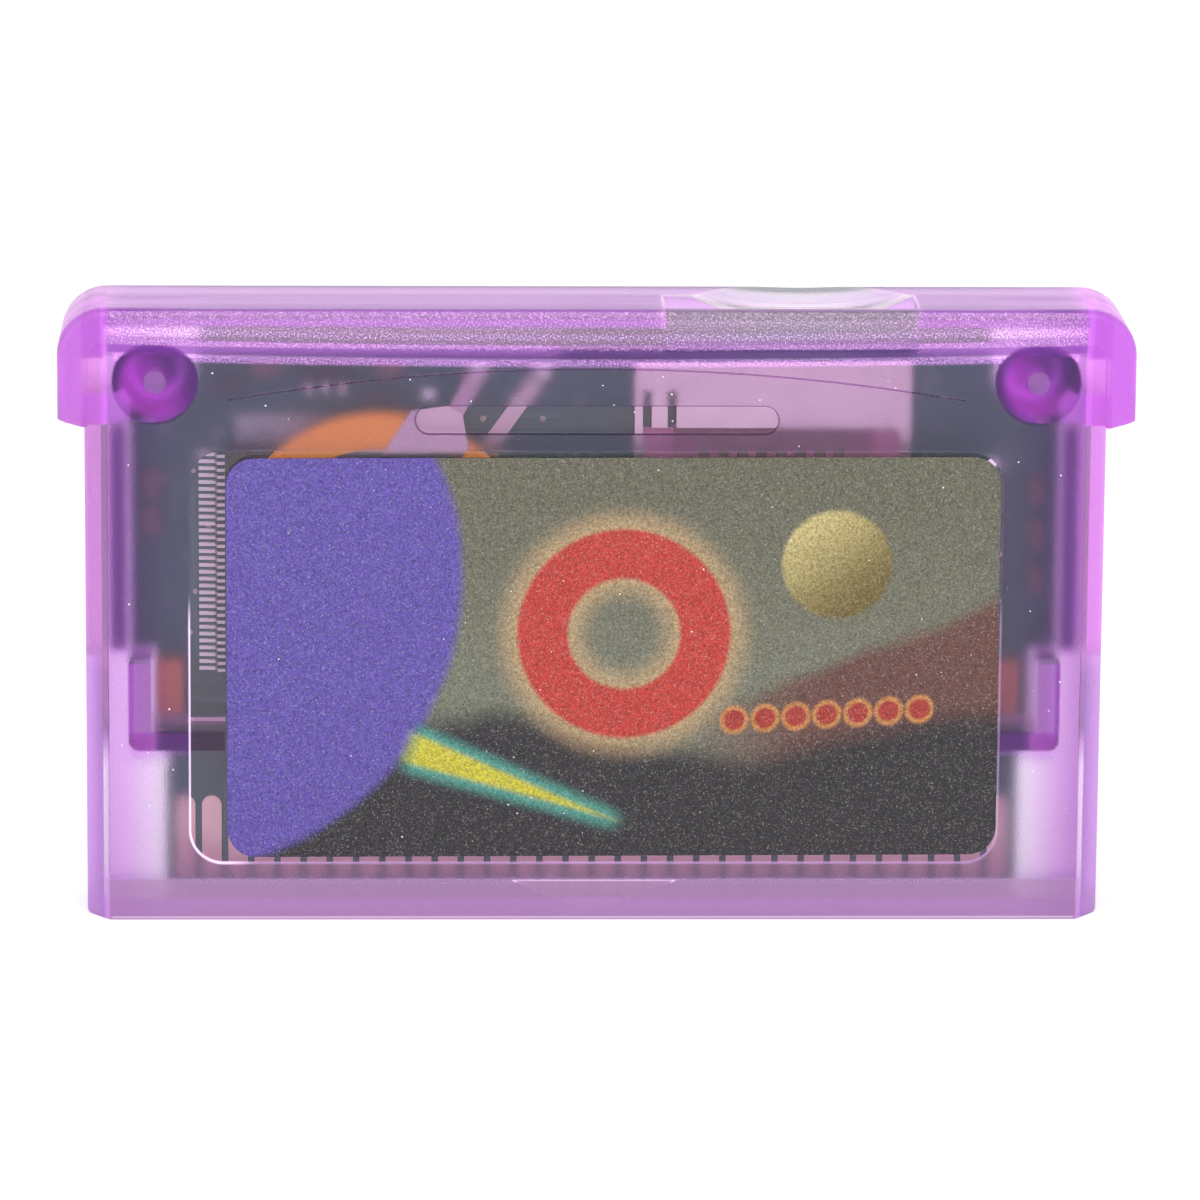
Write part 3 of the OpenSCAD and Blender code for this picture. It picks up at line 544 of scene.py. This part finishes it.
# %% Shell plastic
BODY_COLOUR, BODY_DENSITY = (0.69, 0.05, 0.85, 1.0), 245.0
SKIN_COLOUR = (0.985, 0.97, 0.99, 1.0)
GRAIN_MM = 0.10
# Painted shade: these tints darken the plastic where it looks deeper and darker. frost_grain and lip_grain
# are a random tone of the frosted skin.
TINTS = {
    "side_shade": (0.66, 0.28, 0.77),
    "right_side_shade": (0.74, 0.62, 0.76),
    "slope_dark": (0.42, 0.20, 0.55),
    "boss_disc": (0.60, 0.22, 0.66),
    "blocks": (0.03, 0.004, 0.06),
    "ribs": (0.60, 0.45, 0.46),
    "foot": (0.16, 0.14, 0.14),
    "walls": (0.40, 0.16, 0.46),
    "pill_rim": (0.25, 0.10, 0.28),
    "frost_grain": (0.86, 0.83, 0.87),
    "lip_grain": (0.50, 0.44, 0.56),
}
# Painted light: each glow lights its region, and glint, sparkle, lip_edge, recess_edge, foot_line and
# mark_top are painted highlights.
GLOWS = {
    "frost": (0.000, 0.003, 0.014),
    "seam": (0.130, 0.020, 0.170),
    "sparkle": (0.340, 0.260, 0.340),
    "boss_hole": (0.090, 0.070, 0.100),
    "edge_high": (0.098, 0.045, 0.062),
    "lip": (0.210, 0.125, 0.165),
    "lip_edge": (0.280, 0.130, 0.380),
    "glint": (0.600, 0.240, 0.720),
    "ears": (0.035, 0.035, 0.035),
    "right": (0.050, 0.008, 0.060),
    "top": (0.070, 0.035, 0.050),
    "scoop": (0.160, 0.230, 0.120),
    "notch": (0.180, 0.180, 0.140),
    "boss_glow": (0.220, 0.010, 0.250),
    "recess_edge": (0.750, 0.600, 0.850),
    "foot": (0.255, 0.140, 0.265),
    "slope_dark": (0.045, 0.004, 0.080),
    "foot_line": (0.300, 0.300, 0.250),
    "foot_top": (0.160, 0.140, 0.220),
    "mark_top": (0.500, 0.380, 0.500),
    "rib_feet": (0.060, 0.005, 0.100),
    "rib_arms": (0.090, 0.080, 0.130),
}


def shell_material():
    material, tree, shader = new_material(
        "shell_plastic", Transmission_Weight=1.0, IOR=1.5, Emission_Strength=1.0,
    )
    material.cycles.emission_sampling = "NONE"
    x, y, z = places_mm(tree)
    grain = point_noise(tree, GRAIN_MM, 1.0, 0.6)
    area = {**grip_regions(x, y, z, grain), **face_regions(x, y, z), **lower_regions(x, y, z, grain)}
    skin = tinted(tree, SKIN_COLOUR, [(area[name], tint) for name, tint in TINTS.items()])
    plug(tree, shader.inputs["Base Color"], skin)
    glow = summed(tree, [(area[name], light) for name, light in GLOWS.items()])
    plug(tree, shader.inputs["Emission Color"], glow)
    roughness = area["frost"] * (FROST_ROUGHNESS - POLISH_ROUGHNESS) + POLISH_ROUGHNESS
    plug(tree, shader.inputs["Roughness"], roughness)
    height = grain * area["frost"]
    bump = add_node(tree, "ShaderNodeBump", {"Height": height, "Distance": 0.02 * MM, "Strength": 1.0})
    plug(tree, shader.inputs["Normal"], bump.outputs["Normal"])
    body = add_node(tree, "ShaderNodeVolumeAbsorption", {"Color": BODY_COLOUR, "Density": BODY_DENSITY})
    plug(tree, tree.nodes["Material Output"].inputs["Volume"], body.outputs["Volume"])
    return material


finish_node(["front_shell", "back_shell"], shell_material())
print("regions with a tint:", len(TINTS), "with light:", len(GLOWS))

# %% [markdown]
# The circuit board is glass laminate under a green solder mask. Copper tracks lie under that mask as
# slightly paler, raised lines. They follow a loose grid, so two sets of stripes are enough, one upright and
# one level, each broken up by a noise that decides where tracks run.

# %% Circuit board
TRACK_PITCH_X, TRACK_PITCH_Z = 0.9, 1.1


def board_material():
    material, tree, shader = new_material("board_laminate", Roughness=0.32)
    x, _, z = places_mm(tree)
    upright = (x * (1 / TRACK_PITCH_X)).math("FRACT").rise(0.56, 0.62)
    level = (z * (1 / TRACK_PITCH_Z)).math("FRACT").rise(0.60, 0.66)
    runs = point_noise(tree, 7.0, 1.0)
    copper = (upright * runs.rise(0.52, 0.56)).math("MAXIMUM", level * runs.fall(0.42, 0.46))
    cloud = point_noise(tree, 12.0, 2.0)
    mask_green = mix_colours(tree, cloud, (0.008, 0.080, 0.070, 1.0), (0.016, 0.108, 0.096, 1.0))
    plug(tree, shader.inputs["Base Color"], mix_colours(tree, copper, mask_green, (0.035, 0.135, 0.130, 1.0)))
    bump = add_node(tree, "ShaderNodeBump", {"Height": copper, "Distance": 0.03 * MM, "Strength": 0.6})
    plug(tree, shader.inputs["Normal"], bump.outputs["Normal"])
    return material


finish_node("circuit_board", board_material())
print("board finished")

# %% [markdown]
# Metal parts share one recipe: a metallic Principled shader, a base colour that a cloud darkens a little,
# and a roughness that the same cloud varies, so that no two leads shine quite alike.

# %% Metals
def metal_material(name, colour, roughness, spread=0.12, grain_mm=0.1):
    """A metal. Its roughness varies around the given one, over a range as wide as spread."""
    material, tree, shader = new_material(name, Metallic=1.0)
    grain = use_group(tree, FINE_GRAIN, {"Size": grain_mm, "Cloud Size": 1.6, "Cloud Share": 0.5})
    cloud = Field(tree, grain["Cloud"])
    dull = tuple(c * 0.72 for c in colour[:3]) + (1.0,)
    plug(tree, shader.inputs["Base Color"], mix_colours(tree, cloud, dull, colour))
    plug(tree, shader.inputs["Roughness"], cloud * spread + (roughness - spread / 2))
    bump = add_node(tree, "ShaderNodeBump", {"Height": grain["Height"], "Distance": 0.004 * MM})
    plug(tree, shader.inputs["Normal"], bump.outputs["Normal"])
    return material


finish_node(["front_contacts", "back_contacts", "card_socket_contacts"],
            metal_material("contact_gold", (0.80, 0.60, 0.50, 1.0), 0.36))
TIN = metal_material("lead_tin", (0.72, 0.70, 0.70, 1.0), 0.38)
finish_node([
    "controller_leads", "controller_pads", "work_memory_leads", "save_memory_leads", "regulator_leads",
    "tab_solder",
], TIN)
finish_node("coin_cell", metal_material(
    "cell_steel", (0.62, 0.61, 0.62, 1.0), 0.30, spread=0.10, grain_mm=0.05,
))
finish_node(["positive_tab", "negative_tab"], metal_material("tab_nickel", (0.65, 0.51, 0.55, 1.0), 0.34))
finish_node("card_socket_cover", metal_material(
    "cover_steel", (0.92, 0.77, 0.77, 1.0), 0.42, spread=0.06, grain_mm=0.08,
))
finish_node("crystal", metal_material("crystal_metal", (0.70, 0.70, 0.70, 1.0), 0.3))
finish_node(["screw_left", "screw_right"], metal_material("screw_steel", (0.66, 0.62, 0.64, 1.0), 0.45))
print("metals:", [m.name for m in bpy.data.materials if m.name in ("contact_gold", "lead_tin", "cell_steel")])

# %% [markdown]
# The dull parts are resins and ceramics: black chip bodies with a fine matt skin, a dark socket frame with
# a painted pinkish light on its lower part, tan and brown ceramic capacitors and small black resistors. The
# coin cell wears an orange shrink sleeve with a satin sheen and a little painted glow in its own colour.

# %% Resins, ceramics and film
def matt_material(name, colour, roughness, grain_mm=0.08, contrast=0.25, height=0.01, glow=0.0):
    """A dull skin. Glow is a painted light in its own colour, for light that a film sends back from inside.
    """
    material, tree, shader = new_material(
        name, Roughness=roughness, Emission_Color=colour, Emission_Strength=glow,
    )
    grain = use_group(tree, FINE_GRAIN, {"Size": grain_mm, "Cloud Size": 2.5, "Cloud Share": 0.4})
    dark = tuple(c * (1 - contrast) for c in colour[:3]) + (1.0,)
    plug(tree, shader.inputs["Base Color"], mix_colours(tree, grain["Height"], dark, colour))
    bump = add_node(tree, "ShaderNodeBump", {"Height": grain["Height"], "Distance": height * MM})
    plug(tree, shader.inputs["Normal"], bump.outputs["Normal"])
    return material


finish_node(["controller_body", "work_memory_body", "save_memory_body", "regulator_body"],
            matt_material("package_resin", (0.030, 0.030, 0.033, 1.0), 0.6))
PINK_BELOW_Z = 28.0


def socket_material():
    """The socket's black resin, which looks pinkish below PINK_BELOW_Z: a pinkish light is painted on it
    there.
    """
    dark = (0.028, 0.028, 0.030, 1.0)
    material = matt_material("socket_resin", dark, 0.5)
    tree = material.node_tree
    low = places_mm(tree)[2].fall(PINK_BELOW_Z - 0.05, PINK_BELOW_Z + 0.05)
    # Painted light: a pinkish light on the black resin below PINK_BELOW_Z.
    colour = mix_colours(tree, low, dark, (0.62, 0.20, 0.36, 1.0))
    plug(tree, tree.nodes["Principled BSDF"].inputs["Base Color"], colour)
    return material


finish_node("card_socket_base", socket_material())
finish_node(["capacitor_left", "capacitor_right"],
            matt_material("capacitor_tan", (0.84, 0.27, 0.12, 1.0), 0.45))
finish_node("ceramic_capacitors", matt_material("ceramic_brown", (0.22, 0.13, 0.12, 1.0), 0.45))
finish_node("chip_resistors", matt_material("resistor_black", (0.04, 0.04, 0.045, 1.0), 0.4))
# The sleeve's glow is a painted light in its own orange.
finish_node("battery_sleeve", matt_material(
    "sleeve_film", (1.0, 0.40, 0.01, 1.0), 0.35, grain_mm=0.3, contrast=0.08, height=0.006, glow=0.16,
))
print("resins finished")

# %% [markdown]
# The label is printed paper under a thin film. Its picture is a plain landscape: a big indigo planet, a
# grey green sky, maroon hills and dark ground, a red ring with a cream glow, a pale gold moon, a string of
# red beads, and a yellow comet with a teal rim. Each shape is a mask made from places on the label, in
# millimetres from its centre.

# %% The label's picture
label_low, label_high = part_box("label")
LABEL_CENTRE = (label_low + label_high) / 2 / MM
LABEL_FACE = label_low.y / MM
SKY_TOP, SKY_LOW = (0.165, 0.160, 0.115, 1.0), (0.215, 0.220, 0.165, 1.0)
HILLS, GROUND = (0.165, 0.075, 0.065, 1.0), (0.040, 0.036, 0.042, 1.0)
INDIGO = (0.145, 0.100, 0.440, 1.0)
GOLD_DARK, GOLD_PALE = (0.20, 0.15, 0.05, 1.0), (0.66, 0.55, 0.24, 1.0)
CREAM, RED = (0.62, 0.42, 0.22, 1.0), (0.58, 0.062, 0.050, 1.0)
BEAD_RIM, BEAD_RED = (0.60, 0.26, 0.09, 1.0), (0.45, 0.055, 0.045, 1.0)
TEAL, YELLOW = (0.10, 0.36, 0.30, 1.0), (0.66, 0.60, 0.06, 1.0)
PLANET_CENTRE, PLANET_R = (-25.5, 4.5), 17.0
MOON_CENTRE, MOON_R = (12.6, 5.4), 3.1
RING_CENTRE, RING_R = (0.6, 1.4), 4.6
BEADS_START, BEADS_END, BEAD_PITCH = 6.0, 18.2, 1.75
COMET_PLACE = (-6.0, -7.2)


def distance_to(u, v, centre):
    """How far each point lies from a centre, in millimetres."""
    return radius(u - centre[0], v - centre[1])


def paint_land(tree, u, v, wobble):
    """The sky, the hills at the right and the dark ground."""
    colour = mix_colours(tree, (v + wobble * 2.0).rise(-4.0, 11.0), SKY_LOW, SKY_TOP)
    ridge = u * -0.42 + v + wobble
    colour = mix_colours(tree, ridge.fall(-6.4, -4.9) * u.rise(2.0, 12.0), colour, HILLS)
    ground = v + (u * 0.22).math("SINE") * 1.3 + wobble
    return mix_colours(tree, ground.fall(-5.6, -3.4), colour, GROUND)


def paint_round_things(tree, u, v, wobble, colour):
    """The planet, the moon and the ring with its glow."""
    planet = distance_to(u, v, PLANET_CENTRE) + wobble * 0.25
    colour = mix_colours(tree, planet.fall(PLANET_R - 0.4, PLANET_R + 0.4), colour, INDIGO)
    gold = mix_colours(tree, (u * -0.6 + v * 0.8).rise(-6.0, 0.6), GOLD_DARK, GOLD_PALE)
    moon = distance_to(u, v, MOON_CENTRE)
    colour = mix_colours(tree, moon.fall(MOON_R - 0.2, MOON_R + 0.2), colour, gold)
    ring = abs(distance_to(u, v, RING_CENTRE) - RING_R)
    colour = mix_colours(tree, ring.fall(1.2, 3.2) * 0.8, colour, CREAM)
    return mix_colours(tree, ring.fall(1.25, 1.6), colour, RED)


def paint_beads(tree, u, v, colour):
    """A row of beads that climbs a little to the right."""
    bead_u = ((u - BEADS_START) * (1 / BEAD_PITCH)).math("FRACT") * BEAD_PITCH - BEAD_PITCH / 2
    bead = radius(bead_u, v + 4.0 - u * 0.06)
    row = u.within(BEADS_START, BEADS_END, 0.1)
    colour = mix_colours(tree, bead.fall(0.72, 0.95) * row, colour, BEAD_RIM)
    return mix_colours(tree, bead.fall(0.50, 0.66) * row, colour, BEAD_RED)


def paint_comet(tree, u, v, colour):
    """A comet that narrows along its own slanting axis."""
    comet_u, comet_v = u - COMET_PLACE[0], v - COMET_PLACE[1]
    along = comet_u * 0.94 + comet_v * -0.34
    across = abs(comet_u * 0.34 + comet_v * 0.94)
    taper = across - along * -0.075 - 0.55
    length = along.rise(-6.5, -5.0) * along.fall(5.8, 7.4)
    colour = mix_colours(tree, taper.fall(0.0, 0.9) * length, colour, TEAL)
    return mix_colours(tree, taper.fall(-0.35, 0.15) * length, colour, YELLOW)


def label_picture(tree, u, v):
    """The printed colours as one socket."""
    wobble = (point_noise(tree, 5.0, 3.0) - 0.5) * 1.6
    colour = paint_land(tree, u, v, wobble)
    colour = paint_round_things(tree, u, v, wobble, colour)
    colour = paint_beads(tree, u, v, colour)
    return paint_comet(tree, u, v, colour)


print("label centre in mm:", [round(c, 2) for c in LABEL_CENTRE])

# %% [markdown]
# Printing isn't smooth. The picture's brightness follows a fine screen of dots, the paper's fibres and a
# cloud of grain, and pale specks and spray lie on top.

# %% The label's paper
SCREEN_MM = 0.17
SPECK_COLOUR = (0.78, 0.76, 0.72, 1.0)


def label_material():
    material, tree, shader = new_material("label_print", Roughness=0.42, Specular_IOR_Level=0.3)
    x, _, z = places_mm(tree)
    colour = label_picture(tree, x - LABEL_CENTRE.x, z - LABEL_CENTRE.z)
    turns = math.tau / SCREEN_MM
    screen = (x * turns).math("SINE") * (z * turns).math("SINE")
    grain = use_group(tree, FINE_GRAIN, {"Size": 0.11, "Cloud Size": 0.5, "Cloud Share": 0.3})
    fibre = point_noise(tree, 0.12, 1.0)
    tone = Field(tree, grain["Height"]) * 0.8 + fibre * 1.5 + screen * 0.10 - 0.15
    shaded = add_node(tree, "ShaderNodeVectorMath", {0: colour, "Scale": tone}, operation="SCALE")
    spray = point_noise(tree, 0.085, 2.0, 0.8).rise(0.56, 0.72)
    specks = use_group(tree, SPECKS, {"Spacing": 0.28, "Dot Share": 0.24, "Amount": 0.45})
    pale = Field(tree, specks["Mask"]) * 0.35 + spray * 0.4
    colour = mix_colours(tree, pale, shaded.outputs[0], SPECK_COLOUR)
    plug(tree, shader.inputs["Base Color"], colour)
    bump = add_node(tree, "ShaderNodeBump", {"Height": grain["Height"], "Distance": 0.012 * MM})
    plug(tree, shader.inputs["Normal"], bump.outputs["Normal"])
    return material


finish_node("label", label_material())
print("screen of dots in mm:", SCREEN_MM)

# %% [markdown]
# Small things that repeat come from one Geometry Nodes tree: points spread over a sheet at random, with a
# small ball or a flat dot on each. It makes the dust that static draws to the plastic and the label, and
# the plated holes of the circuit board. The tree ends in plain geometry, and each piece is then turned into
# a plain mesh.

# %% A tree that scatters
def scatter_tree():
    """A tree that spreads dots over a sheet, and the identifiers of its inputs by name."""
    tree = bpy.data.node_groups.new("scatter_dots", "GeometryNodeTree")
    tree.interface.new_socket("Sheet", in_out="INPUT", socket_type="NodeSocketGeometry")
    ids = {}
    kinds = {"Density": "Float", "Least": "Float", "Most": "Float", "Thickness": "Float", "Seed": "Int",
             "Finish": "Material"}
    for label, kind in kinds.items():
        made = tree.interface.new_socket(label, in_out="INPUT", socket_type="NodeSocket" + kind)
        ids[label] = made.identifier
    tree.interface.new_socket("Dots", in_out="OUTPUT", socket_type="NodeSocketGeometry")
    start = tree.nodes.new("NodeGroupInput").outputs
    end = tree.nodes.new("NodeGroupOutput")
    points = add_node(tree, "GeometryNodeDistributePointsOnFaces",
                      {"Mesh": start["Sheet"], "Density": start["Density"], "Seed": start["Seed"]})
    ball = add_node(tree, "GeometryNodeMeshIcoSphere", {"Radius": 1.0, "Subdivisions": 2})
    flat = add_node(tree, "ShaderNodeCombineXYZ", {0: 1.0, 1: start["Thickness"], 2: 1.0})
    shaped = add_node(tree, "GeometryNodeTransform",
                      {"Geometry": ball.outputs["Mesh"], "Scale": flat.outputs[0]})
    size = add_node(tree, "FunctionNodeRandomValue",
                    {2: start["Least"], 3: start["Most"], "Seed": start["Seed"]}, data_type="FLOAT")
    placed = add_node(tree, "GeometryNodeInstanceOnPoints", {
        "Points": points.outputs["Points"], "Instance": shaped.outputs["Geometry"], "Scale": size.outputs[1],
    })
    real = add_node(tree, "GeometryNodeRealizeInstances", {"Geometry": placed.outputs["Instances"]})
    done = add_node(tree, "GeometryNodeSetMaterial",
                    {"Geometry": real.outputs[0], "Material": start["Finish"]})
    plug(tree, end.inputs["Dots"], done.outputs[0])
    return tree, ids


def plain_sheet(name, areas):
    """Upright rectangles, each given in millimetres as left, right, low, high and depth."""
    corners, faces = [], []
    for left, right, low, high, depth in areas:
        first = len(corners)
        around = ((left, low), (right, low), (right, high), (left, high))
        corners += [(x * MM, depth * MM, z * MM) for x, z in around]
        faces.append(tuple(range(first, first + 4)))
    mesh = bpy.data.meshes.new(name)
    mesh.from_pydata(corners, [], faces)
    piece = bpy.data.objects.new(name, mesh)
    bpy.context.scene.collection.objects.link(piece)
    return piece


SCATTER, SCATTER_IDS = scatter_tree()


def scatter(name, areas, finish, per_cm2, least, most, thickness, seed):
    """A piece made of dots that lie on the given areas, as a plain mesh."""
    piece = plain_sheet(name, areas)
    modifier = piece.modifiers.new("scatter", "NODES")
    modifier.node_group = SCATTER
    settings = {"Density": per_cm2 * 1e4, "Least": least * MM, "Most": most * MM, "Thickness": thickness,
                "Seed": seed, "Finish": finish}
    for label, value in settings.items():
        modifier[SCATTER_IDS[label]] = value
    graph = bpy.context.evaluated_depsgraph_get()
    made = bpy.data.meshes.new_from_object(piece.evaluated_get(graph))
    piece.modifiers.clear()
    piece.data = made
    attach(piece, "root")
    return piece


print("named inputs of the tree:", list(SCATTER_IDS))

# %% [markdown]
# Static draws dust to the plastic and to the label, where each speck shows pale and has a little painted
# glow. The board has plated holes. All three pieces are dots on sheets: flattened balls for the dust, and
# thin discs half sunk into the solder mask for the holes. Each has its own fixed seed.

# %% Dust and plated holes
BOARD_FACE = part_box("circuit_board")[0].y / MM
DUST_FACE = -3.7
# The dust's emission is a painted glow that makes each speck brighter.
GLOWING_DUST, _, glowing_dust_shader = new_material(
    "dust", Base_Color=(0.9, 0.9, 0.92, 1.0), Roughness=0.6, Emission_Strength=0.35,
)
glowing_dust_shader.inputs["Emission Color"].default_value = (0.9, 0.88, 0.92, 1.0)
PLATING = metal_material("hole_plating", (0.42, 0.40, 0.36, 1.0), 0.4)
face_dust = scatter("face_dust", [
    (-23.5, 23.5, 27.4, 31.9, DUST_FACE), (-27.2, -23.2, 3.0, 27.0, DUST_FACE),
    (23.2, 27.2, 3.0, 27.0, DUST_FACE),
], GLOWING_DUST, per_cm2=9.0, least=0.02, most=0.055, thickness=0.5, seed=7)
label_dust = scatter("label_dust", [
    (-21.2, 21.4, 4.4, 26.4, LABEL_FACE),
], GLOWING_DUST, per_cm2=5.0, least=0.02, most=0.05, thickness=0.5, seed=3)
board_holes = scatter("board_holes", [
    (-25.8, -21.2, 15.6, 28.0, BOARD_FACE), (13.8, 25.8, 15.6, 31.0, BOARD_FACE),
    (-12.0, 1.6, 27.6, 33.0, BOARD_FACE),
], PLATING, per_cm2=22.0, least=0.12, most=0.2, thickness=0.12, seed=11)
print("dots:", {o.name: len(o.data.polygons) for o in (face_dust, label_dust, board_holes)})
